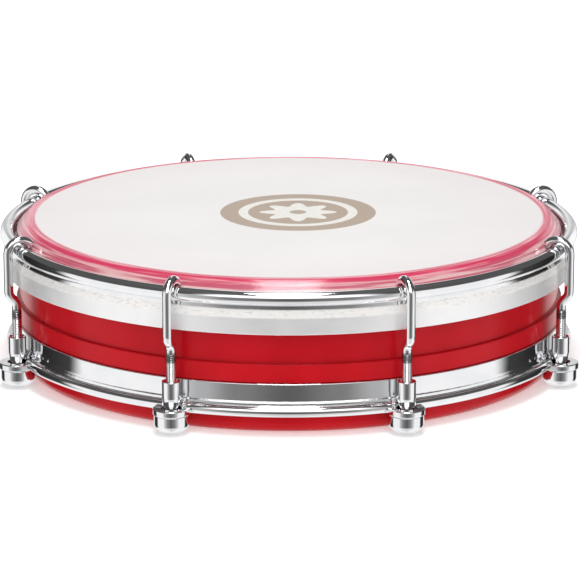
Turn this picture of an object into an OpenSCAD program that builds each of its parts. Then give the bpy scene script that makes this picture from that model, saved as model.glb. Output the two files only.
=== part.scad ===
// Shallow frame drum with a plastic shell: a clear-edged head is pulled down by
// a steel rim, eight hooks and eight sleeve nuts that hang from a lower ring.
// Millimetres. +Z is up, the origin is the centre of the shell's lower edge.

/* [Shell] */
// Height of the playing surface above the shell's lower edge
head_z = 43; // [40:0.5:60]
// Outer radius of the shell wall
shell_r = 78.7; // [78.2:0.1:78.8]
// Inner radius of the shell wall
shell_bore_r = 73.9; // [72:0.1:74.5]
// Outer radius of the raised rib that the lower ring pulls against
rib_r = 79.7; // [79.4:0.1:80]
// Height of the rib's underside
rib_z = 14.8; // [13:0.1:16]
// Height of the rib itself
rib_h = 5.3; // [3:0.1:6]
// Radius of the rounded lower edge
foot_round = 3.5; // [1:0.1:4]

/* [Head] */
// Thickness of the drum head's film
film_t = 0.35; // [0.25:0.05:0.5]
// Radius at which the film starts to fold over the shell's edge
fold_r = 75.8; // [75:0.1:76]
// Radial thickness of the flesh hoop that the film is fixed to
flesh_w = 2.4; // [1.5:0.1:2.4]
// Height of the flesh hoop
flesh_h = 4; // [3:0.1:6]

/* [Rim] */
// Radius of the rim's rolled bead
rim_bead = 2; // [1.6:0.05:2]
// Radius of the circle that the bead's centre lies on
rim_bead_r = 82; // [81.9:0.05:82.1]
// Depth of the bead's crest below the playing surface
rim_drop = 1.85; // [1.6:0.05:2.5]
// Outer radius of the rim's flat band
rim_r = 83.2; // [83:0.1:83.3]
// Thickness of the rim's sheet steel
rim_t = 1.3; // [1:0.1:1.3]
// Overall height of the rim
rim_h = 11.95; // [10:0.05:13]

/* [Lower ring] */
// Outer radius of the lower ring's wall
ring_r = 80.5; // [80.2:0.1:80.7]
// Thickness of the lower ring's wall
ring_t = 1.55; // [1:0.05:1.55]
// Radius of the lower ring's bead
ring_bead = 1.5; // [1.2:0.1:1.6]
// Width of an ear
ear_w = 10; // [9:0.5:12]
// Thickness of an ear
ear_t = 1.8; // [1.2:0.1:2]
// Distance from the drum's axis to the tip of an ear
ear_tip = 89.2; // [88:0.1:91]
// Radius of the hole in an ear
ear_hole = 2.75; // [2.7:0.05:3]

/* [Hooks and nuts] */
// Number of tension hooks
lugs = 8; // [8]
// Distance from the drum's axis to a nut's axis
lug_r = 83.8; // [83.6:0.1:84]
// Distance from the drum's axis to a hook's upper shaft
shaft_r = 86; // [85.8:0.1:86.2]
// Diameter of a hook's wire
wire_d = 2.7; // [2.5:0.1:2.8]
// Outer diameter of a hook's thread
thread_d = 3; // [3]
// Radial clearance of a thread in its nut
thread_play = 0.05; // [0.03:0.01:0.08]
// Angle that a hook's claw turns through over the bead
claw_turn = 145; // [120:1:148]
// Diameter of a nut's sleeve
sleeve_d = 5.2; // [4.8:0.1:5.3]
// Diameter of a nut's neck inside the ear
neck_d = 4.2; // [4:0.1:4.6]
// Diameter of a nut's head
cap_d = 9.7; // [9:0.1:9.7]
// Radius of the rounding under a nut's head
cap_round = 2.2; // [1:0.1:2.5]
// Width across the flats of the key socket
key_af = 4; // [3:0.5:4]

/* [Hidden] */
$fn = 96;

// Shell and head
crest_z = head_z - film_t - 0.05;
film_gap = 0.15;
fold_round = 1;
fold_end_r = fold_r + fold_round * sin(45);
fold_end_z = head_z - fold_round * (1 - cos(45));
skirt_r = shell_r + 0.6;
cut_sum = fold_end_r + fold_end_z - (film_t + film_gap) / sin(45);

// Rim
rim_top = head_z - rim_drop;
rim_bead_z = rim_top - rim_bead;
rim_bottom = rim_top - rim_h;
rim_neck_r = rim_r - 0.45;
rim_neck_z = rim_bead_z - rim_bead - 0.8;
rim_band_z = rim_neck_z - 2.6;
flesh_top = rim_bead_z - rim_bead - 0.05;
flesh_bore_r = skirt_r + 0.02;

// Lower ring
ring_top = rib_z - 0.05;
ring_bottom = 5.6;
ring_bead_r = ring_r + 0.7;
ring_bead_z = ring_bottom + ring_bead;
ring_flare_z = ring_bead_z + ring_bead + 1.3;
bead_notch = ear_hole + 0.2;

// Hooks
wire_r = wire_d / 2;
claw_r = 3.75;
claw_z = rim_top - 2.2;
crank_top = 28.3;
crank_drop = 4.8;
crank_turn = 2 * atan((shaft_r - lug_r) / crank_drop);
crank_r = crank_drop / (2 * sin(crank_turn));
crank_bottom = crank_top - crank_drop;
crank_gap = 2;
thread_top = crank_bottom - 0.7;
thread_end = 4.6;
thread_lead = 0.4;

// Nuts
sleeve_top = 14.9;
sleeve_taper_top = 10.2;
sleeve_taper_end = ring_bottom + ear_t + 0.3;
cap_top = ring_bottom - 0.05;
cap_bottom = 0.8;
bore_floor = 4;
key_depth = 2.2;
mouth_w = 0.7;
overlap = 0.01;

// The angle of lug k about the drum's axis, the first one to the right of the front
function lug_angle(k) = -90 + 22.5 + (k - 1) * 360 / lugs;

// A square corner of side r whose inside is rounded off, with its point at the origin
module corner(r) {
    difference() {
        translate([-overlap, -overlap]) square(r + overlap);
        translate([r, r]) circle(r);
    }
}

// Half section of the shell: wall, rib, angled bearing edge and rounded foot
module shell_section() {
    difference() {
        union() {
            translate([shell_bore_r, 0]) square([shell_r - shell_bore_r, crest_z]);
            translate([shell_bore_r, rib_z]) square([rib_r - shell_bore_r, rib_h]);
        }
        polygon([
            [cut_sum - crest_z, crest_z],
            [cut_sum - crest_z, crest_z + 1],
            [shell_r + 1, crest_z + 1],
            [shell_r + 1, cut_sum - shell_r - 1]
        ]);
        translate([shell_r, 0]) mirror([1, 0]) corner(foot_round);
        translate([shell_bore_r, 0]) corner(0.5);
        translate([shell_bore_r, crest_z]) mirror([0, 1]) corner(0.6);
        translate([rib_r, rib_z + rib_h]) mirror([1, 0]) mirror([0, 1]) corner(0.4);
    }
}

module shell() {
    color("#bb1f22") rotate_extrude() shell_section();
}

// Half section of everything under one face of the film: the outer face has inset 0
module film_outline(inset, bottom) {
    round_r = fold_round - inset;
    end_r = fold_r + round_r * sin(45);
    end_z = head_z - fold_round + round_r * cos(45);
    side_r = skirt_r - inset;
    polygon([
        [0, bottom],
        [side_r, bottom],
        [side_r, end_z - (side_r - end_r)],
        [end_r, end_z],
        [fold_r, head_z - inset],
        [0, head_z - inset]
    ]);
    translate([fold_r, head_z - fold_round]) circle(round_r);
}

// The film lies flat, folds over the bearing edge and runs down into the flesh hoop
module head_film() {
    bottom = flesh_top - flesh_h;
    color("#f0e6e4") {
        rotate_extrude() {
            difference() {
                film_outline(0, bottom);
                film_outline(film_t, bottom - 1);
            }
        }
    }
}

module flesh_hoop() {
    color("#c9c4bd") {
        rotate_extrude() {
            translate([flesh_bore_r, flesh_top - flesh_h]) square([flesh_w, flesh_h]);
        }
    }
}

// Half section of the rim: a rolled bead on top of a plain band
module rim_section() {
    difference() {
        union() {
            translate([rim_bead_r, rim_bead_z]) circle(rim_bead);
            polygon([
                [rim_r - rim_t, rim_bottom],
                [rim_r, rim_bottom],
                [rim_r, rim_band_z],
                [rim_neck_r + 0.1, rim_neck_z],
                [rim_neck_r, rim_neck_z + 0.5],
                [rim_neck_r, rim_bead_z - rim_bead / 2],
                [rim_r - rim_t, rim_bead_z]
            ]);
        }
        translate([rim_r, rim_bottom]) mirror([1, 0]) corner(0.35);
        translate([rim_r - rim_t, rim_bottom]) corner(0.35);
    }
}

module counterhoop() {
    color("#d6d6d8") rotate_extrude() rim_section();
}

// Half section of the lower ring: a plain wall with a rolled bead at its foot
module ring_section() {
    wall_in = ring_r - ring_t;
    difference() {
        union() {
            translate([wall_in, ring_bead_z]) square([ring_t, ring_top - ring_bead_z]);
            translate([ring_bead_r, ring_bead_z]) circle(ring_bead);
            polygon([
                [wall_in, ring_bead_z - 0.9],
                [ring_bead_r, ring_bead_z - 0.9],
                [ring_bead_r, ring_bead_z + ring_bead * 0.9],
                [ring_r, ring_flare_z],
                [wall_in, ring_flare_z]
            ]);
        }
        translate([ring_r, ring_top]) mirror([1, 0]) mirror([0, 1]) corner(0.3);
    }
}

// One ear, a flat tab with a round end, lying along +X
module ear() {
    end_x = ear_tip - ear_w / 2;
    translate([0, 0, ring_bottom]) {
        linear_extrude(ear_t) {
            translate([ring_r, -ear_w / 2]) square([end_x - ring_r, ear_w]);
            translate([end_x, 0]) circle(ear_w / 2);
        }
    }
}

module tension_ring() {
    color("#d0d0d3") {
        difference() {
            union() {
                rotate_extrude() ring_section();
                for (k = [1:lugs]) rotate(lug_angle(k)) ear();
            }
            for (k = [1:lugs]) {
                rotate(lug_angle(k)) {
                    translate([lug_r, 0, ring_bottom - 1]) cylinder(r = ear_hole, h = ear_t + 2);
                    translate([lug_r, 0, ring_bottom + ear_t]) cylinder(r = bead_notch, h = 3);
                }
            }
        }
    }
}

// A bent stretch of wire in the XZ plane: it starts at the origin heading up
// and turns towards -X, about a centre at [-r, 0, 0]
module bend(r, turn) {
    translate([-r, 0, 0]) {
        rotate([90, 0, 0]) {
            rotate_extrude(angle = turn) translate([r, 0]) circle(wire_r);
        }
    }
}

// A hook in the XZ plane: claw, upper shaft, inward crank and threaded end.
// A ball fills the small gap between the crank's two bends.
module hook_form() {
    translate([shaft_r, 0, claw_z]) bend(claw_r, claw_turn);
    translate([shaft_r, 0, crank_top]) cylinder(r = wire_r, h = claw_z - crank_top);
    translate([shaft_r, 0, crank_top]) mirror([0, 0, 1]) bend(crank_r, crank_turn - crank_gap);
    translate([(shaft_r + lug_r) / 2, 0, crank_top - crank_drop / 2]) sphere(wire_r + 0.02);
    translate([lug_r, 0, crank_bottom]) mirror([1, 0, 0]) bend(crank_r, crank_turn - crank_gap);
    translate([lug_r, 0, thread_top]) cylinder(r = wire_r, h = crank_bottom - thread_top);
    translate([lug_r, 0, thread_end + thread_lead]) {
        cylinder(d = thread_d, h = thread_top - thread_end - thread_lead);
    }
    translate([lug_r, 0, thread_end]) {
        cylinder(r1 = thread_d / 2 - thread_lead, r2 = thread_d / 2, h = thread_lead);
    }
}

module hook(k) {
    color("#dcdcdf") rotate(lug_angle(k)) hook_form();
}

// Half section of a nut, before its bore: round-bottomed cap, neck and sleeve
module nut_section() {
    difference() {
        union() {
            translate([0, cap_bottom]) square([cap_d / 2, cap_top - cap_bottom]);
            translate([0, cap_bottom]) square([neck_d / 2, sleeve_taper_end - cap_bottom]);
            polygon([
                [0, sleeve_taper_end],
                [neck_d / 2, sleeve_taper_end],
                [sleeve_d / 2, sleeve_taper_top],
                [sleeve_d / 2, sleeve_top],
                [0, sleeve_top]
            ]);
        }
        translate([cap_d / 2, cap_bottom]) mirror([1, 0]) corner(cap_round);
        translate([cap_d / 2, cap_top]) mirror([1, 0]) mirror([0, 1]) corner(0.3);
    }
}

// A sleeve nut: threaded sleeve above the ear, domed cap with a key socket below it
module nut(k) {
    bore_r = thread_d / 2 + thread_play;
    color("#d2d2d5") {
        rotate(lug_angle(k)) {
            translate([lug_r, 0, 0]) {
                difference() {
                    rotate_extrude() nut_section();
                    translate([0, 0, bore_floor]) cylinder(r = bore_r, h = sleeve_top);
                    translate([0, 0, sleeve_top - mouth_w]) {
                        cylinder(r1 = bore_r, r2 = bore_r + mouth_w, h = mouth_w + overlap);
                    }
                    translate([0, 0, cap_bottom - 1]) {
                        cylinder(d = key_af / cos(30), h = key_depth + 1, $fn = 6);
                    }
                }
            }
        }
    }
}

shell();
head_film();
flesh_hoop();
counterhoop();
tension_ring();
for (k = [1:8]) {
    hook(k);
    nut(k);
}
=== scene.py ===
"""Looks for a small frame drum: red shell, milky head, chromed rim and lower ring, hooks and nuts.

Metres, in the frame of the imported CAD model: +Z up along the drum's axis, -Y the front.
Every visible piece is a fine mesh with the section of its CAD node, which it replaces.
"""

import math

import bmesh
import bpy
import numpy as np
from mathutils import Matrix, Vector


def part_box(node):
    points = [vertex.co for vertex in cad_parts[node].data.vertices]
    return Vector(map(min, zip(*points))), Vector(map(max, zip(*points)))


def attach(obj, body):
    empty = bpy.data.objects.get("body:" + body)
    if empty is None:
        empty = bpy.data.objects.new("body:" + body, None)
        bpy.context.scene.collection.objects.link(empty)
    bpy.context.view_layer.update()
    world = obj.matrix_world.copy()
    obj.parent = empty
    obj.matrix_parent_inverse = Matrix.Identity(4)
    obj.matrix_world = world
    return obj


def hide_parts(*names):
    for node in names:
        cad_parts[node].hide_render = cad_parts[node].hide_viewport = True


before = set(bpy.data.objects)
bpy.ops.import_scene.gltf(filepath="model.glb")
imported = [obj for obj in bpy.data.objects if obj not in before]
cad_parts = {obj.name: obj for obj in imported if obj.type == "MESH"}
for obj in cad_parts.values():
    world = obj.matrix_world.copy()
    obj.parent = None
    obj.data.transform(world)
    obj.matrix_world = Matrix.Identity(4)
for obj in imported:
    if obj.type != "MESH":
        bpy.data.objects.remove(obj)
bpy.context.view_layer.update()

MM = 0.001
LUGS = 8
LUG_STEP = 360 / LUGS
ROUND_SEGMENTS = 360
NUT_SEGMENTS = 48
SHARP_ANGLE = 32  # degrees


# ---------------------------------------------------------------- sizes, in millimetres
def node_box(node):
    """A CAD node's lowest and highest corners, in millimetres."""
    low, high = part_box(node)
    return low / MM, high / MM


shell_high = node_box("shell")[1]
film_low, film_high = node_box("head_film")
flesh_low, flesh_high = node_box("flesh_hoop")
rim_low, rim_high = node_box("counterhoop")
ring_low, ring_high = node_box("tension_ring")
hook_low, hook_high = node_box("hook_1")
nut_low, nut_high = node_box("nut_1")


def lug_angle(k):
    """Where lug k stands round the drum's axis, in radians; lug 1 is just right of the front."""
    return math.radians(-90 + LUG_STEP * (k - 0.5))


# Shell
RIB_STEP, SHELL_WALL = 1, 4.8
RIB_R = shell_high.x
SHELL_R = RIB_R - RIB_STEP
BORE_R = SHELL_R - SHELL_WALL
CREST_Z = shell_high.z
RIB_BOTTOM, RIB_TOP = 14.8, 20.1
FOOT_ROUND = 3.5

# Head
HEAD_Z = film_high.z
SKIRT_R = film_high.x
FILM_T, FILM_GAP = 0.35, 0.15
FOLD_R = 75.8
FOLD_ROUND = 1
FOLD_REACH = FOLD_ROUND * math.sin(math.radians(45))
BEARING_SUM = FOLD_R + HEAD_Z - FOLD_ROUND + 2 * FOLD_REACH  # r + z on the film's 45 degree slope

# Rim
RIM_BEAD = 2
RIM_BEAD_R = rim_high.x - RIM_BEAD
RIM_BEAD_Z = rim_high.z - RIM_BEAD
RIM_R = 83.2
RIM_T = 1.3
RIM_NECK_R = RIM_R - 0.45
RIM_NECK_Z = RIM_BEAD_Z - RIM_BEAD - 0.8
RIM_BAND_Z = RIM_NECK_Z - 2.6

# Lower ring
RING_R = 80.5
RING_T = 1.55
RING_BEAD = 1.5
RING_BEAD_R = RING_R + 0.7
RING_BEAD_Z = ring_low.z + RING_BEAD
EAR_HALF_W = 5
EAR_T = 1.8
EAR_END_R = (ring_high.x - EAR_HALF_W) / math.cos(math.radians(LUG_STEP / 2))
EAR_HOLE = 2.75
BEAD_NOTCH = 2.95

# Hooks
LUG_R = math.hypot((nut_low.x + nut_high.x) / 2, (nut_low.y + nut_high.y) / 2)
SHAFT_R = 86
WIRE_R = 1.35
CLAW_R = 3.75
CLAW_TURN = 145
CLAW_Z = hook_high.z - CLAW_R - WIRE_R
CRANK_TOP, CRANK_DROP = 28.3, 4.8
THREAD_TOP, THREAD_END = 22.8, hook_low.z
THREAD_R, THREAD_ROOT_R, THREAD_PITCH = 1.5, 1.22, 0.5

# Nuts
CAP_R = (nut_high.x - nut_low.x) / 2
CAP_BOTTOM, CAP_TOP = nut_low.z, ring_low.z - 0.05
SLEEVE_R, NECK_R, SLEEVE_TOP = 2.6, 2.1, nut_high.z
SLEEVE_TAPER_TOP, SLEEVE_TAPER_END = 10.2, 7.7
BORE_OF_NUT, BORE_FLOOR = 1.55, 4
KEY_AF, KEY_TOP = 4, 3


# ---------------------------------------------------------------- mesh code
def arc(r, z, radius, start, end, step=7.5):
    """Points of an arc in a half section, from start to end in degrees, both ends included."""
    count = max(2, math.ceil(abs(end - start) / step)) + 1
    angles = np.radians(np.linspace(start, end, count))
    return [(r + radius * math.cos(a), z + radius * math.sin(a)) for a in angles]


def rounded(corners):
    """A half section from corners (r, z) or (r, z, rounding).
    A rounding is an arc tangent to both sides."""
    outline = []
    for i, corner in enumerate(corners):
        here = Vector(corner[:2])
        if len(corner) < 3:
            outline.append(tuple(here))
            continue
        to_last = (Vector(corners[i - 1][:2]) - here).normalized()
        to_next = (Vector(corners[(i + 1) % len(corners)][:2]) - here).normalized()
        half = to_last.angle(to_next) / 2
        radius = corner[2]
        centre = here + (to_last + to_next).normalized() * (radius / math.sin(half))
        first = here + to_last * (radius / math.tan(half)) - centre
        last = here + to_next * (radius / math.tan(half)) - centre
        turn = first.angle_signed(last)
        count = max(2, math.ceil(abs(math.degrees(turn)) / 12))
        for j in range(count + 1):
            a = -turn * j / count
            outline.append(
                (
                    centre.x + first.x * math.cos(a) - first.y * math.sin(a),
                    centre.y + first.x * math.sin(a) + first.y * math.cos(a),
                )
            )
    return outline


def hexagonal(angles, across_flats):
    """The radius of a hexagon at each angle, with a corner at angle 0."""
    off_flat = np.mod(angles, math.pi / 3) - math.pi / 6
    return across_flats / 2 / np.cos(off_flat)


def revolved(outline, segments=ROUND_SEGMENTS, hexagon=()):
    """Vertices in millimetres and faces of an outline turned round Z.
    An outline that begins and ends on the axis is closed there, any other is closed on itself.
    The rows numbered in hexagon are hexagons: their r is the width across the flats."""
    angles = np.arange(segments) * (2 * math.pi / segments)
    on_axis = outline[0][0] == 0
    rows = outline[1:-1] if on_axis else outline
    verts = []
    for i, (r, z) in enumerate(rows):
        radius = hexagonal(angles, r) if i in hexagon else r
        xs, ys = radius * np.cos(angles), radius * np.sin(angles)
        verts.append(np.column_stack((xs, ys, np.full(segments, z))))
    verts = list(map(tuple, np.vstack(verts)))
    faces = []
    count = len(rows)
    for i in range(count - 1 if on_axis else count):
        a, b = i * segments, (i + 1) % count * segments
        for j in range(segments):
            k = (j + 1) % segments
            faces.append((a + j, a + k, b + k, b + j))
    if on_axis:
        last = (count - 1) * segments
        verts += [(0, 0, outline[0][1]), (0, 0, outline[-1][1])]
        for j in range(segments):
            k = (j + 1) % segments
            faces.append((len(verts) - 2, k, j))
            faces.append((len(verts) - 1, last + j, last + k))
    return verts, faces


def joined(*parts):
    """Several (vertices, faces) as one."""
    verts, faces = [], []
    for part_verts, part_faces in parts:
        start = len(verts)
        verts += part_verts
        faces += [tuple(start + i for i in face) for face in part_faces]
    return verts, faces


def placed(part, matrix):
    """A part's vertices moved by a matrix."""
    verts, faces = part
    return [tuple(matrix @ Vector(v)) for v in verts], faces


def at_lug(part, k):
    """A part drawn at angle 0, turned to lug k."""
    return placed(part, Matrix.Rotation(lug_angle(k), 4, "Z"))


def mesh_object(name, part):
    """A smooth-shaded object from a part in millimetres, with its face normals outward."""
    verts, faces = part
    mesh = bpy.data.meshes.new(name)
    mesh.from_pydata([(x * MM, y * MM, z * MM) for x, y, z in verts], [], faces)
    mesh.validate()
    obj = bpy.data.objects.new(name, mesh)
    bpy.context.scene.collection.objects.link(obj)
    finish_mesh(obj)
    return obj


def finish_mesh(obj):
    """Outward normals, smooth faces, sharp edges by angle, and flats that look flat."""
    bm = bmesh.new()
    bm.from_mesh(obj.data)
    bmesh.ops.recalc_face_normals(bm, faces=bm.faces)
    bm.to_mesh(obj.data)
    bm.free()
    obj.data.shade_smooth()
    obj.data.set_sharp_from_angle(angle=math.radians(SHARP_ANGLE))
    if "weighted" not in obj.modifiers:
        weighted = obj.modifiers.new("weighted", "WEIGHTED_NORMAL")
        weighted.keep_sharp = True


def cut(obj, other, operation):
    """Joins another object's solid to obj's, or takes it away."""
    modifier = obj.modifiers.new("cut", "BOOLEAN")
    modifier.operation = operation
    modifier.solver = "EXACT"
    modifier.object = other
    obj.modifiers.move(len(obj.modifiers) - 1, 0)
    kept = obj.modifiers["weighted"]
    kept.show_viewport = False
    bpy.context.view_layer.update()
    graph = bpy.context.evaluated_depsgraph_get()
    mesh = bpy.data.meshes.new_from_object(obj.evaluated_get(graph), depsgraph=graph)
    kept.show_viewport = True
    obj.modifiers.remove(modifier)
    obj.data = mesh
    bpy.data.objects.remove(other)


def piece(obj, body, node, slot, *materials):
    """The object stands for a CAD node, rides on its body and wears these materials."""
    for material in materials:
        obj.data.materials.append(material)
    if node:
        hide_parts(node)
    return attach(obj, body)


# ---------------------------------------------------------------- shapes
def shell_shape():
    cut_top_r = BEARING_SUM - (FILM_T + FILM_GAP) / math.sin(math.radians(45)) - CREST_Z
    cut_side_z = cut_top_r + CREST_Z - SHELL_R
    return revolved(
        rounded(
            [
                (BORE_R, 0, 0.5),
                (SHELL_R, 0, FOOT_ROUND),
                (SHELL_R, RIB_BOTTOM, 0.12),
                (RIB_R, RIB_BOTTOM, 0.15),
                (RIB_R, RIB_TOP, 0.4),
                (SHELL_R, RIB_TOP, 0.2),
                (SHELL_R, cut_side_z, 0.3),
                (cut_top_r, CREST_Z, 0.3),
                (BORE_R, CREST_Z, 0.6),
            ]
        )
    )


def film_side(inset):
    """One face of the film, from the axis out over the fold and down the skirt."""
    round_r = FOLD_ROUND - inset
    top = HEAD_Z - FOLD_ROUND
    end_r = FOLD_R + round_r * math.sin(math.radians(45))
    end_z = top + round_r * math.cos(math.radians(45))
    side_r = SKIRT_R - inset
    field = [(r, HEAD_Z - inset) for r in (0, 12, 30, 50, 65, 72)]
    fold = arc(FOLD_R, top, round_r, 90, 45, 5)
    shoulder = (side_r, end_z - (side_r - end_r), 0.7)
    collar = rounded([(end_r, end_z), shoulder, (side_r, film_low.z)])
    return field + fold + collar[1:]


def film_shape():
    return revolved(film_side(0) + film_side(FILM_T)[::-1])


def flesh_shape():
    inner = SKIRT_R + 0.02
    low, high, outer = flesh_low.z, flesh_high.z, flesh_high.x
    corners = [(inner, low, 0.2), (outer, low, 0.4), (outer, high, 0.4), (inner, high, 0.2)]
    return revolved(rounded(corners))


def rim_shape():
    inner = RIM_R - RIM_T
    neck_angle = -math.degrees(math.acos((RIM_NECK_R - RIM_BEAD_R) / RIM_BEAD))
    inner_angle = 360 - math.degrees(math.acos((inner - RIM_BEAD_R) / RIM_BEAD))
    band = rounded(
        [
            (inner, rim_low.z, 0.35),
            (RIM_R, rim_low.z, 0.35),
            (RIM_R, RIM_BAND_Z, 3),
            (RIM_NECK_R + 0.1, RIM_NECK_Z, 0.3),
            (RIM_NECK_R, RIM_NECK_Z + 0.5),
        ]
    )
    return revolved(band + arc(RIM_BEAD_R, RIM_BEAD_Z, RIM_BEAD, neck_angle, inner_angle))


def ring_section():
    inner = RING_R - RING_T
    foot_z = RING_BEAD_Z - 0.9
    foot_angle = -math.degrees(math.pi - math.asin(0.9 / RING_BEAD))
    wall = rounded(
        [
            (inner, foot_z, 0.2),
            (inner, ring_high.z, 0.3),
            (RING_R, ring_high.z, 0.3),
            (RING_R, RING_BEAD_Z + RING_BEAD + 1.3, 2),
            (RING_BEAD_R - 0.22, RING_BEAD_Z + RING_BEAD + 0.25),
        ]
    )
    return wall + arc(RING_BEAD_R, RING_BEAD_Z, RING_BEAD, 105, foot_angle, 7.5)


def ear_shape():
    """A tab along +X with a round end and rounded edges, its root inside the ring's bead."""
    edge = 0.35
    low, high = ring_low.z + 0.02, ring_low.z + EAR_T
    quarter = np.radians([0, 30, 60, 90])
    levels = [(low + edge - edge * math.cos(a), edge - edge * math.sin(a)) for a in quarter]
    levels += [(high - (z - low), inset) for z, inset in levels[::-1]]
    verts, faces = [], []
    for z, inset in levels:
        half = EAR_HALF_W - inset
        verts.append((RING_R, -half, z))
        verts += [(x, y, z) for x, y in arc(EAR_END_R, 0, half, -90, 90, 5)]
        verts.append((RING_R, half, z))
    count = len(verts) // len(levels)
    for i in range(len(levels) - 1):
        for j in range(count):
            k = (j + 1) % count
            a, b = i * count, (i + 1) * count
            faces.append((a + j, a + k, b + k, b + j))
    faces.append(tuple(range(count))[::-1])
    faces.append(tuple(range(len(verts) - count, len(verts))))
    return verts, faces


def ear_cutter():
    """What the nut needs: a hole in the ear, its lower edge broken, and a notch in the bead above."""
    low, high = ring_low.z, ring_low.z + EAR_T
    outline = [
        (0, low - 1),
        (EAR_HOLE + 0.35, low - 1),
        (EAR_HOLE + 0.35, low - 0.05),
        (EAR_HOLE, low + 0.3),
        (EAR_HOLE, high - 0.2),
        (BEAD_NOTCH, high),
        (BEAD_NOTCH, high + 3),
        (0, high + 3),
    ]
    return placed(revolved(outline, NUT_SEGMENTS), Matrix.Translation((LUG_R, 0, 0)))


def ring_object():
    ring = mesh_object("lower_ring", revolved(ring_section()))
    lugs = range(1, LUGS + 1)
    ears = mesh_object("ears", joined(*(at_lug(ear_shape(), k) for k in lugs)))
    cutters = mesh_object("ear_cutters", joined(*(at_lug(ear_cutter(), k) for k in lugs)))
    cut(ring, ears, "UNION")
    cut(ring, cutters, "DIFFERENCE")
    finish_mesh(ring)
    return ring


def thread_radius(angles, z):
    """The radius of the hook's right-hand thread at each angle, at height z."""
    phase = np.mod(z / THREAD_PITCH - angles / (2 * math.pi), 1)
    ridge = np.clip((1 - np.abs(2 * phase - 1)) * 1.35 - 0.12, 0, 1)
    cut_in = min(1, (THREAD_TOP - z) / 0.8)
    threaded = THREAD_ROOT_R + (THREAD_R - THREAD_ROOT_R) * ridge
    lead = max(0, THREAD_END + 0.4 - z)
    return np.minimum(WIRE_R + (threaded - WIRE_R) * cut_in, THREAD_R - lead)


def hook_shape(sides=24):
    """A hook in the XZ plane, from the claw's cut end over the bead and down to the rod's end."""
    crank_turn = 2 * math.atan((SHAFT_R - LUG_R) / CRANK_DROP)
    crank_r = CRANK_DROP / (2 * math.sin(crank_turn))
    path = arc(SHAFT_R - CLAW_R, CLAW_Z, CLAW_R, CLAW_TURN, 0, 5)
    path += [(SHAFT_R, CLAW_Z - 3), (SHAFT_R, CRANK_TOP + 2)]
    bend = np.linspace(0, crank_turn, 9)
    inward, down = crank_r * (1 - np.cos(bend)), crank_r * np.sin(bend)
    crank_end = CRANK_TOP - CRANK_DROP
    path += [(SHAFT_R - r, CRANK_TOP - z) for r, z in zip(inward, down)]
    path += [(LUG_R + r, crank_end + z) for r, z in zip(inward[-2::-1], down[-2::-1])]
    path = np.array(path)
    ahead = np.gradient(path, axis=0)
    ahead /= np.linalg.norm(ahead, axis=1)[:, None]
    angles = np.arange(sides) * (2 * math.pi / sides)
    rings = []

    def ring(centre, direction, radius):
        side = np.array((-direction[1], direction[0]))
        rings.append(
            np.column_stack(
                (
                    centre[0] + radius * np.cos(angles) * side[0],
                    radius * np.sin(angles),
                    centre[1] + radius * np.cos(angles) * side[1],
                )
            )
        )

    for depth, inset in ((0, 0.3), (0.1, 0.1), (0.3, 0)):
        ring(path[0] + ahead[0] * depth, ahead[0], WIRE_R - inset)
    for centre, direction in zip(path[1:], ahead[1:]):
        ring(centre, direction, WIRE_R)
    straight_down = np.array((0, -1))
    for z in np.arange(THREAD_TOP, THREAD_END, -THREAD_PITCH / 8):
        ring((LUG_R, z), straight_down, thread_radius(angles, z))
    ring((LUG_R, THREAD_END), straight_down, thread_radius(angles, THREAD_END))
    verts = list(map(tuple, np.vstack(rings)))
    faces = []
    for i in range(len(rings) - 1):
        for j in range(sides):
            k = (j + 1) % sides
            a, b = i * sides, (i + 1) * sides
            faces.append((a + j, a + k, b + k, b + j))
    faces.append(tuple(range(sides))[::-1])
    faces.append(tuple(range(len(verts) - sides, len(verts))))
    return verts, faces


def nut_shape():
    """A nut on its own axis: key socket, domed cap, neck, tapered sleeve and a plain bore."""
    socket = [(0, KEY_TOP + 0.35), (KEY_AF * 0.5, KEY_TOP + 0.25)]
    hexes = [
        (KEY_AF - 0.06, KEY_TOP),
        (KEY_AF, KEY_TOP - 0.1),
        (KEY_AF, CAP_BOTTOM + 0.12),
        (KEY_AF + 0.2, CAP_BOTTOM),
    ]
    outside = rounded(
        [
            (0, CAP_BOTTOM),
            (CAP_R, CAP_BOTTOM, 2.2),
            (CAP_R, CAP_TOP, 0.3),
            (NECK_R, CAP_TOP, 0.1),
            (NECK_R, SLEEVE_TAPER_END, 1),
            (SLEEVE_R, SLEEVE_TAPER_TOP, 2),
            (SLEEVE_R, SLEEVE_TOP, 0.2),
            (BORE_OF_NUT + 0.7, SLEEVE_TOP, 0.1),
            (BORE_OF_NUT, SLEEVE_TOP - 0.7, 0.2),
            (BORE_OF_NUT, BORE_FLOOR),
            (0, BORE_FLOOR - 0.5),
        ]
    )
    outline = socket + hexes + outside[1:]
    nut = revolved(outline, NUT_SEGMENTS, hexagon=range(1, 5))
    return placed(nut, Matrix.Translation((LUG_R, 0, 0)))


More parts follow.
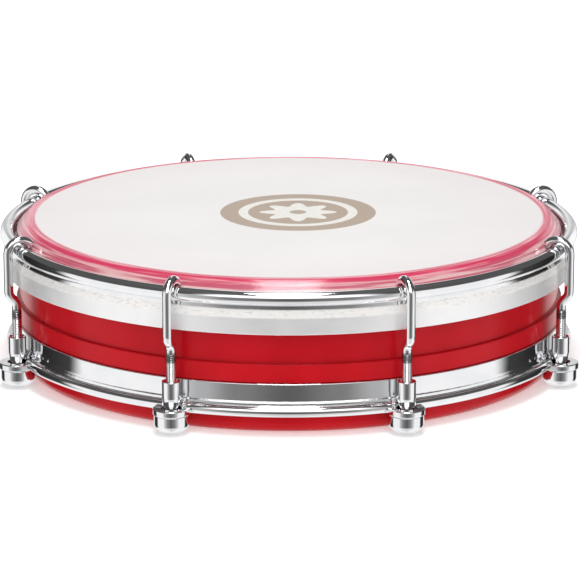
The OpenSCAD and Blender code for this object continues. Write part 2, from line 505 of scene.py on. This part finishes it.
# ---------------------------------------------------------------- materials
class Nodes:
    """Short calls that add nodes to a tree. A call's value is a socket."""

    def __init__(self, tree):
        self.nodes, self.links = tree.nodes, tree.links

    def put(self, socket, value):
        if isinstance(value, bpy.types.NodeSocket):
            self.links.new(value, socket)
        else:
            socket.default_value = value

    def maths(self, operation, *values):
        node = self.nodes.new("ShaderNodeMath")
        node.operation = operation
        for socket, value in zip(node.inputs, values):
            self.put(socket, value)
        return node.outputs[0]

    def times(self, first, second):
        return self.maths("MULTIPLY", first, second)

    def plus(self, first, second):
        return self.maths("ADD", first, second)

    def ramp(self, value, low, high, to_low=0.0, to_high=1.0):
        """A value from low..high to to_low..to_high, smooth and clamped."""
        node = self.nodes.new("ShaderNodeMapRange")
        node.interpolation_type = "SMOOTHSTEP"
        ends = ("From Min", low), ("From Max", high), ("To Min", to_low), ("To Max", to_high)
        for key, number in ends:
            node.inputs[key].default_value = number
        self.put(node.inputs["Value"], value)
        return node.outputs["Result"]

    def zone(self, value, low, low_end, high, high_end):
        """1 from low_end to high, and 0 below low and above high_end."""
        return self.times(self.ramp(value, low, low_end), self.ramp(value, high, high_end, 1, 0))

    def mixed(self, share, first, second):
        """A colour between two colours."""
        node = self.nodes.new("ShaderNodeMix")
        node.data_type = "RGBA"
        self.put(node.inputs["Factor"], share)
        for key, colour in (("A", first), ("B", second)):
            socket = next(s for s in node.inputs if s.name == key and s.type == "RGBA")
            self.put(socket, colour if isinstance(colour, bpy.types.NodeSocket) else (*colour, 1))
        return next(s for s in node.outputs if s.type == "RGBA")

    def parts(self, vector):
        """A vector's x, y and z."""
        node = self.nodes.new("ShaderNodeSeparateXYZ")
        self.put(node.inputs[0], vector)
        return node.outputs


class Shader(Nodes):
    """A Principled material and the calls for it."""

    def __init__(self, name, **values):
        self.material = bpy.data.materials.new(name)
        self.material.use_nodes = True
        super().__init__(self.material.node_tree)
        self.bsdf = self.nodes["Principled BSDF"]
        for key, value in values.items():
            self.set(key.replace("_", " ").title(), value)
        self.place = self.nodes.new("ShaderNodeTexCoord").outputs["Object"]

    def set(self, socket, value):
        """Sets or links one of the Principled shader's own sockets."""
        self.put(self.bsdf.inputs[socket.replace("Ior", "IOR")], value)

    def scaled(self, x, y, z):
        """Object coordinates stretched along the axes."""
        node = self.nodes.new("ShaderNodeVectorMath")
        node.operation = "MULTIPLY"
        self.put(node.inputs[0], self.place)
        node.inputs[1].default_value = (x, y, z)
        return node.outputs[0]

    def noise(self, scale, detail=3, place=None):
        """Noise with about scale features to the metre, from 0 to 1."""
        node = self.nodes.new("ShaderNodeTexNoise")
        self.put(node.inputs["Vector"], place or self.place)
        node.inputs["Scale"].default_value = scale
        node.inputs["Detail"].default_value = detail
        return node.outputs["Fac"]

    def height(self):
        """Height above the shell's lower edge, in millimetres."""
        return self.maths("DIVIDE", self.parts(self.place)["Z"], MM)

    def radius(self):
        """Distance from the drum's axis, in millimetres."""
        node = self.nodes.new("ShaderNodeVectorMath")
        node.operation = "LENGTH"
        self.put(node.inputs[0], self.scaled(1, 1, 0))
        return self.maths("DIVIDE", node.outputs["Value"], MM)

    def round_streaks(self, along, across):
        """Coordinates in which noise makes streaks that run round the drum."""
        x, y, z = self.parts(self.place)
        out_and_down = self.maths("SUBTRACT", self.times(self.radius(), MM), z)
        whole = self.nodes.new("ShaderNodeCombineXYZ")
        self.put(whole.inputs[0], self.times(x, along))
        self.put(whole.inputs[1], self.times(y, along))
        self.put(whole.inputs[2], self.times(out_and_down, across))
        return whole.outputs[0]

    def bump(self, *layers):
        """Bump from layers of (height from 0 to 1, depth in millimetres)."""
        normal = None
        for value, depth in layers:
            node = self.nodes.new("ShaderNodeBump")
            node.inputs["Distance"].default_value = depth * MM
            self.put(node.inputs["Height"], value)
            if normal is not None:
                self.put(node.inputs["Normal"], normal)
            normal = node.outputs["Normal"]
        self.set("Normal", normal)


def red_plastic():
    """Glossy moulded ABS: faint colour drift, orange peel, hairline scratches, a scuffed foot."""
    deep, light, scuffed = (0.48, 0.006, 0.0115), (0.53, 0.008, 0.0155), (0.62, 0.08, 0.08)
    s = Shader("red_plastic", ior=1.5, specular_ior_level=0.12)
    drift = s.ramp(s.noise(55, 2), 0.35, 0.65)
    scratch = s.ramp(s.noise(1, 4, s.scaled(90, 90, 7000)), 0.66, 0.76)
    near_foot = s.ramp(s.height(), 0.4, 3.2, 1, 0)
    scuff = s.times(near_foot, s.ramp(s.noise(700, 5), 0.45, 0.7))
    s.set("Base Color", s.mixed(s.times(scuff, 0.12), s.mixed(drift, deep, light), scuffed))
    rough = s.ramp(s.noise(160, 3), 0.3, 0.7, 0.13, 0.2)
    rough = s.plus(rough, s.times(scratch, 0.12))
    s.set("Roughness", s.plus(rough, s.times(scuff, 0.15)))
    s.bump((s.noise(750, 2), 0.006), (scratch, 0.002), (scuff, 0.004))
    return s.material


def chrome(name, matt_band=None, bare=None, crinkled=None):
    """Plated steel: near mirror with slow waviness, faint haze and tiny specks.
    Each other value is a pair of heights: between them the steel is brushed below and etched above,
    or its plating is thin, or it is uneven."""
    cool, bright, speck_tone = (0.80, 0.805, 0.82), (0.84, 0.84, 0.85), (0.42, 0.41, 0.40)
    s = Shader(name, metallic=1.0)
    drift = s.ramp(s.noise(120, 2), 0.35, 0.65)
    speck = s.ramp(s.noise(3800, 2), 0.70, 0.76)
    haze = s.ramp(s.noise(260, 4), 0.35, 0.7, 0.03, 0.085)
    hairline = s.ramp(s.noise(1, 3, s.scaled(120, 120, 9000)), 0.62, 0.75)
    rough = s.plus(haze, s.times(speck, 0.2))
    rough = s.plus(rough, s.times(hairline, 0.05))
    colour = s.mixed(s.times(speck, 0.5), s.mixed(drift, cool, bright), speck_tone)
    layers = [(s.noise(140, 1), 0.012), (hairline, 0.0006)]
    if matt_band:
        brushed_tone, etched_tone = (0.98, 0.975, 0.97), (0.95, 0.93, 0.905)
        pit_tone = (0.45, 0.44, 0.43)
        etched_height = 2.5
        low, high = matt_band
        z = s.height()
        band = s.zone(z, low - 0.1, low + 0.25, high - 0.3, high + 0.3)
        etched = s.zone(z, high - etched_height, high - etched_height + 0.5, high - 0.1, high + 0.3)
        grain = s.noise(1, 5, s.scaled(260, 260, 5200))
        pits = s.times(etched, s.ramp(s.noise(1, 4, s.scaled(700, 700, 2600)), 0.54, 0.66))
        rough = s.plus(rough, s.times(band, s.ramp(grain, 0.3, 0.7, 0.34, 0.46)))
        colour = s.mixed(s.times(band, 0.9), colour, brushed_tone)
        colour = s.mixed(etched, colour, etched_tone)
        colour = s.mixed(s.times(pits, 0.35), colour, pit_tone)
        scattering = s.plus(s.times(band, 0.27), s.times(etched, 0.4))
        s.set("Metallic", s.maths("SUBTRACT", 1.0, scattering))
        layers += [(s.times(band, grain), 0.01), (pits, 0.03)]
    if bare:
        steel_tone = (0.16, 0.155, 0.16)
        low, high = bare
        worn = s.zone(s.height(), low - 0.3, low + 0.3, high - 0.3, high + 0.3)
        colour = s.mixed(s.times(worn, 0.75), colour, steel_tone)
        rough = s.plus(rough, s.times(worn, 0.2))
    if crinkled:
        low, high = crinkled
        uneven = s.zone(s.height(), low, low + 0.2, high - 0.8, high)
        layers.append((s.times(uneven, s.noise(520, 3)), 0.05))
    s.set("Base Color", colour)
    s.set("Roughness", rough)
    s.bump(*layers)
    return s.material


def film():
    """Milky film: satin field, the red crest showing through in pink, a glossy collar puckered in
    streaks round the rim, and pale painted highlight streaks in the pink of crest and collar.
    """
    milk, clear_milk = (0.86, 0.835, 0.82), (0.89, 0.865, 0.85)
    outer_milk, fibre_tone = (0.86, 0.79, 0.80), (0.70, 0.67, 0.66)
    # The paler tone of crest and collar is a painted highlight, laid in streaks where the glossy
    # collar catches the light
    crest_pink, crest_painted_highlight = (0.66, 0.05, 0.12), (0.82, 0.30, 0.37)
    collar_pink, collar_painted_highlight = (0.56, 0.12, 0.18), (0.78, 0.50, 0.50)
    field_end, crest_start = 73.5, 74.5
    crest_end, collar_start = 76.4, 78.2
    s = Shader("head_film", ior=1.49)
    r = s.radius()
    fibre = s.ramp(s.noise(900, 5), 0.35, 0.65)
    cloud = s.ramp(s.noise(28, 3), 0.35, 0.65)
    field = s.mixed(cloud, milk, clear_milk)
    field = s.mixed(s.ramp(r, 45, 73, 0, 0.5), field, outer_milk)
    field = s.mixed(s.times(fibre, 0.06), field, fibre_tone)
    streak = s.noise(1, 3, s.round_streaks(34, 800))
    # Streaks round the rim: the pale ones are painted highlights in the colour; the same streaks also
    # pucker the collar's bump below
    pale = s.ramp(streak, 0.46, 0.64)
    crest = s.mixed(pale, crest_pink, crest_painted_highlight)
    collar = s.mixed(pale, collar_pink, collar_painted_highlight)
    colour = s.mixed(s.ramp(r, field_end, crest_start), field, crest)
    s.set("Base Color", s.mixed(s.ramp(r, crest_end, collar_start), colour, collar))
    on_collar = s.ramp(r, 73.6, 75.6)
    s.set("Roughness", s.ramp(on_collar, 0, 1, 0.38, 0.14))
    pucker = s.times(on_collar, streak)
    s.bump((fibre, 0.004), (s.noise(60, 2), 0.02), (pucker, 0.08))
    return s.material


def ink(name, colour, worn):
    """Screen-printed ink: slightly uneven, a little of the film wearing through."""
    film_tone = (0.80, 0.78, 0.75)
    s = Shader(name, roughness=0.5)
    patch = s.ramp(s.noise(1500, 5), 0.40, 0.62)
    speck = s.ramp(s.noise(5200, 2), 0.70, 0.78)
    lighter = tuple(min(1, c * 1.1) for c in colour)
    s.set("Base Color", s.mixed(s.times(speck, worn), s.mixed(patch, colour, lighter), film_tone))
    s.set("Roughness", s.ramp(patch, 0, 1, 0.42, 0.55))
    s.bump((patch, 0.004))
    return s.material


def aluminium():
    """Drawn aluminium with lines along the hoop."""
    dull, bright = (0.66, 0.65, 0.63), (0.78, 0.77, 0.75)
    s = Shader("flesh_metal", metallic=1.0)
    lines = s.noise(1, 4, s.scaled(120, 120, 6500))
    s.set("Base Color", s.mixed(s.ramp(lines, 0.35, 0.65), dull, bright))
    s.set("Roughness", s.ramp(lines, 0.3, 0.7, 0.28, 0.45))
    s.bump((lines, 0.008))
    return s.material


# ---------------------------------------------------------------- the emblem
EMBLEM_AT = (2.65, 1.7)
EMBLEM_R = 22.75
EMBLEM_SEGMENTS = 192
INK_TOP, INK_BOTTOM = HEAD_Z + 0.03, HEAD_Z - 0.01
TAUPE, IVORY = 0, 1


def emblem_shape():
    """A thin printed disc: a rosette with a lobe for each lug, inside a plain ring.
    Returns the part and the number of each face's ink."""
    angles = np.arange(EMBLEM_SEGMENTS) * (2 * math.pi / EMBLEM_SEGMENTS)
    lobes = np.cos(LUGS * angles)
    plain = 0 * lobes
    rows = [
        (plain + 0.6, INK_TOP, TAUPE),
        (plain + 2.4, INK_TOP, TAUPE),
        (4.6 + 0.9 * lobes, INK_TOP, IVORY),
        (9.3 + 2.0 * lobes, INK_TOP, IVORY),
        (plain + 14.6, INK_TOP, TAUPE),
        (plain + 17.4, INK_TOP, IVORY),
        (plain + EMBLEM_R - 0.05, INK_TOP, TAUPE),
        (plain + EMBLEM_R, INK_BOTTOM, TAUPE),
    ]
    verts, faces, inks = [], [], []
    for radius, z, _ in rows:
        xs = EMBLEM_AT[0] + radius * np.cos(angles)
        ys = EMBLEM_AT[1] + radius * np.sin(angles)
        verts += [(x, y, z) for x, y in zip(xs, ys)]
    verts += [(*EMBLEM_AT, INK_TOP), (*EMBLEM_AT, INK_BOTTOM)]
    last = (len(rows) - 1) * EMBLEM_SEGMENTS
    for j in range(EMBLEM_SEGMENTS):
        k = (j + 1) % EMBLEM_SEGMENTS
        faces.append((len(verts) - 2, j, k))
        inks.append(TAUPE)
        for i in range(len(rows) - 1):
            a, b = i * EMBLEM_SEGMENTS, (i + 1) * EMBLEM_SEGMENTS
            faces.append((a + j, b + j, b + k, a + k))
            inks.append(rows[i + 1][2])
        faces.append((len(verts) - 1, last + k, last + j))
        inks.append(TAUPE)
    return (verts, faces), inks


# ---------------------------------------------------------------- build
shell = mesh_object("shell_body", shell_shape())
piece(shell, "drum", "shell", "red_plastic", red_plastic())
head = mesh_object("head", film_shape())
piece(head, "rim", "head_film", "head_film", film())
hoop = mesh_object("flesh_ring", flesh_shape())
piece(hoop, "rim", "flesh_hoop", "flesh_metal", aluminium())

rim = mesh_object("rim", rim_shape())
matt_band = (rim_low.z, RIM_NECK_Z - 0.15)
piece(rim, "rim", "counterhoop", "rim_chrome", chrome("rim_chrome", matt_band=matt_band))
flare = (RING_BEAD_Z + RING_BEAD + 0.2, RING_BEAD_Z + RING_BEAD + 1.6)
ring_chrome = chrome("ring_chrome", crinkled=flare)
piece(ring_object(), "drum", "tension_ring", "ring_chrome", ring_chrome)

hook_part, nut_part = hook_shape(), nut_shape()
hook_chrome = chrome("hook_chrome", bare=(THREAD_TOP - 2.6, THREAD_TOP + 0.2))
nut_chrome = chrome("nut_chrome")
for k in range(1, LUGS + 1):
    hook = mesh_object(f"tension_hook_{k}", at_lug(hook_part, k))
    piece(hook, f"hook_{k}", f"hook_{k}", "hook_chrome", hook_chrome)
    nut = mesh_object(f"sleeve_nut_{k}", at_lug(nut_part, k))
    piece(nut, f"nut_{k}", f"nut_{k}", "nut_chrome", nut_chrome)

emblem_part, emblem_inks = emblem_shape()
emblem = mesh_object("head_print", emblem_part)
taupe_ink = ink("ink_taupe", (0.44, 0.345, 0.27), worn=0.25)
ivory_ink = ink("ink_ivory", (0.82, 0.80, 0.75), worn=0.0)
piece(emblem, "rim", None, "head_film", taupe_ink, ivory_ink)
for polygon, number in zip(emblem.data.polygons, emblem_inks):
    polygon.material_index = number


# ---------------------------------------------------------------- studio
FLOOR_HALF = 4000
FLOOR_Z = -0.2

# Brightness of the surroundings by direction: 0 is the front, 1 the back, the same left and right
LEVEL_STOPS = [
    (0.00, 0.13), (1.00, 0.85), (0.12, 0.24), (0.20, 0.50), (0.30, 1.06), (0.52, 1.06),
    (0.575, 0.05), (0.70, 0.02), (0.76, 0.16), (0.80, 1.10), (0.87, 1.10), (0.92, 0.60),
]
UPPER_STOPS = [(0.00, 1.70), (1.00, 1.30), (0.15, 1.70), (0.24, 0.10), (0.96, 0.10), (0.985, 1.30)]
TABLE_STOPS = [(0.00, 0.80), (1.00, 0.95), (0.16, 0.90), (0.30, 1.10), (0.60, 1.10)]
OVERHEAD = (0.12, 0.12, 0.12)
WHITE = (1.0, 1.0, 1.0)

# Elevations, in degrees, between which one part of the surroundings gives way to the next
TABLE_TO_LEVEL = (-37, -25)
LEVEL_TO_UPPER = (13, 24)
UPPER_TO_OVERHEAD = (48, 60)

KEY_AT, KEY_AIM = (0, -0.30, 1.25), (0, 0, 0.03)
KEY_SIZE, KEY_WATTS = (0.36, 0.9), 12

# A metre from the head's centre, aimed a little below the head
CAMERA_AWAY, CAMERA_RISE = 1.0, math.radians(13.57)
CAMERA_AIM = Vector((0.0009, 0, 0.0193))
CAMERA_LENS = 211.2


def floor():
    """A plain pale floor with a faint glow. Mirrors don't see it, and reflect the studio."""
    s = Shader("floor", roughness=0.9)
    s.set("Base Color", s.mixed(s.noise(9, 3), (0.90, 0.90, 0.90), (0.92, 0.92, 0.92)))
    s.set("Emission Color", (*WHITE, 1))
    s.set("Emission Strength", 0.42)
    corners = [(-1, -1), (1, -1), (1, 1), (-1, 1)]
    verts = [(x * FLOOR_HALF, y * FLOOR_HALF, FLOOR_Z) for x, y in corners]
    obj = mesh_object("floor", (verts, [(0, 1, 2, 3)]))
    obj.data.materials.append(s.material)
    obj.visible_glossy = False


def aimed(obj, at, aim):
    """Puts a light or a camera in the scene, looking at a point."""
    obj.location = at
    obj.rotation_mode = "QUATERNION"
    obj.rotation_quaternion = (Vector(aim) - Vector(at)).to_track_quat("-Z", "Y")
    bpy.context.scene.collection.objects.link(obj)


def key_light():
    """A soft box above the front."""
    data = bpy.data.lights.new("key", "AREA")
    data.shape, data.energy = "RECTANGLE", KEY_WATTS
    data.size, data.size_y = KEY_SIZE
    aimed(bpy.data.objects.new("key", data), KEY_AT, KEY_AIM)


def studio():
    """The surroundings that the chrome reflects: soft boxes left, right and above the front, a pale
    table below, and dark between them. The camera itself sees white."""
    world = bpy.data.worlds.new("studio")
    bpy.context.scene.world = world
    world.use_nodes = True
    w = Nodes(world.node_tree)

    def greys(value, stops):
        """A grey from (position, brightness) stops, the two ends first."""
        node = w.nodes.new("ShaderNodeValToRGB")
        ramp = node.color_ramp
        ramp.interpolation = "EASE"
        for i, (position, level) in enumerate(stops):
            element = ramp.elements[i] if i < 2 else ramp.elements.new(position)
            element.position = position
            element.color = (level, level, level, 1)
        w.put(node.inputs[0], value)
        return node.outputs[0]

    x, y, z = w.parts(w.nodes.new("ShaderNodeTexCoord").outputs["Generated"])
    azimuth = w.maths("ARCTAN2", w.maths("ABSOLUTE", x), w.times(y, -1))
    turn = w.maths("DIVIDE", azimuth, math.pi)
    rise = w.times(w.maths("ARCSINE", z), 180 / math.pi)
    low = w.mixed(w.ramp(rise, *TABLE_TO_LEVEL), greys(turn, TABLE_STOPS), greys(turn, LEVEL_STOPS))
    walls = w.mixed(w.ramp(rise, *LEVEL_TO_UPPER), low, greys(turn, UPPER_STOPS))
    whole = w.mixed(w.ramp(rise, *UPPER_TO_OVERHEAD), walls, OVERHEAD)
    to_camera = w.nodes.new("ShaderNodeLightPath").outputs["Is Camera Ray"]
    background = w.nodes["Background"]
    w.put(background.inputs["Color"], w.mixed(to_camera, whole, WHITE))
    w.put(background.inputs["Strength"], 1.0)


def camera():
    """The camera, a little above the horizon in front of the drum."""
    away = CAMERA_AWAY * Vector((0, -math.cos(CAMERA_RISE), math.sin(CAMERA_RISE)))
    data = bpy.data.cameras.new("camera")
    data.lens = CAMERA_LENS
    obj = bpy.data.objects.new("camera", data)
    aimed(obj, Vector((0, 0, HEAD_Z * MM)) + away, CAMERA_AIM)
    bpy.context.scene.camera = obj


floor()
studio()
key_light()
camera()
bpy.context.scene.view_settings.view_transform = "Standard"
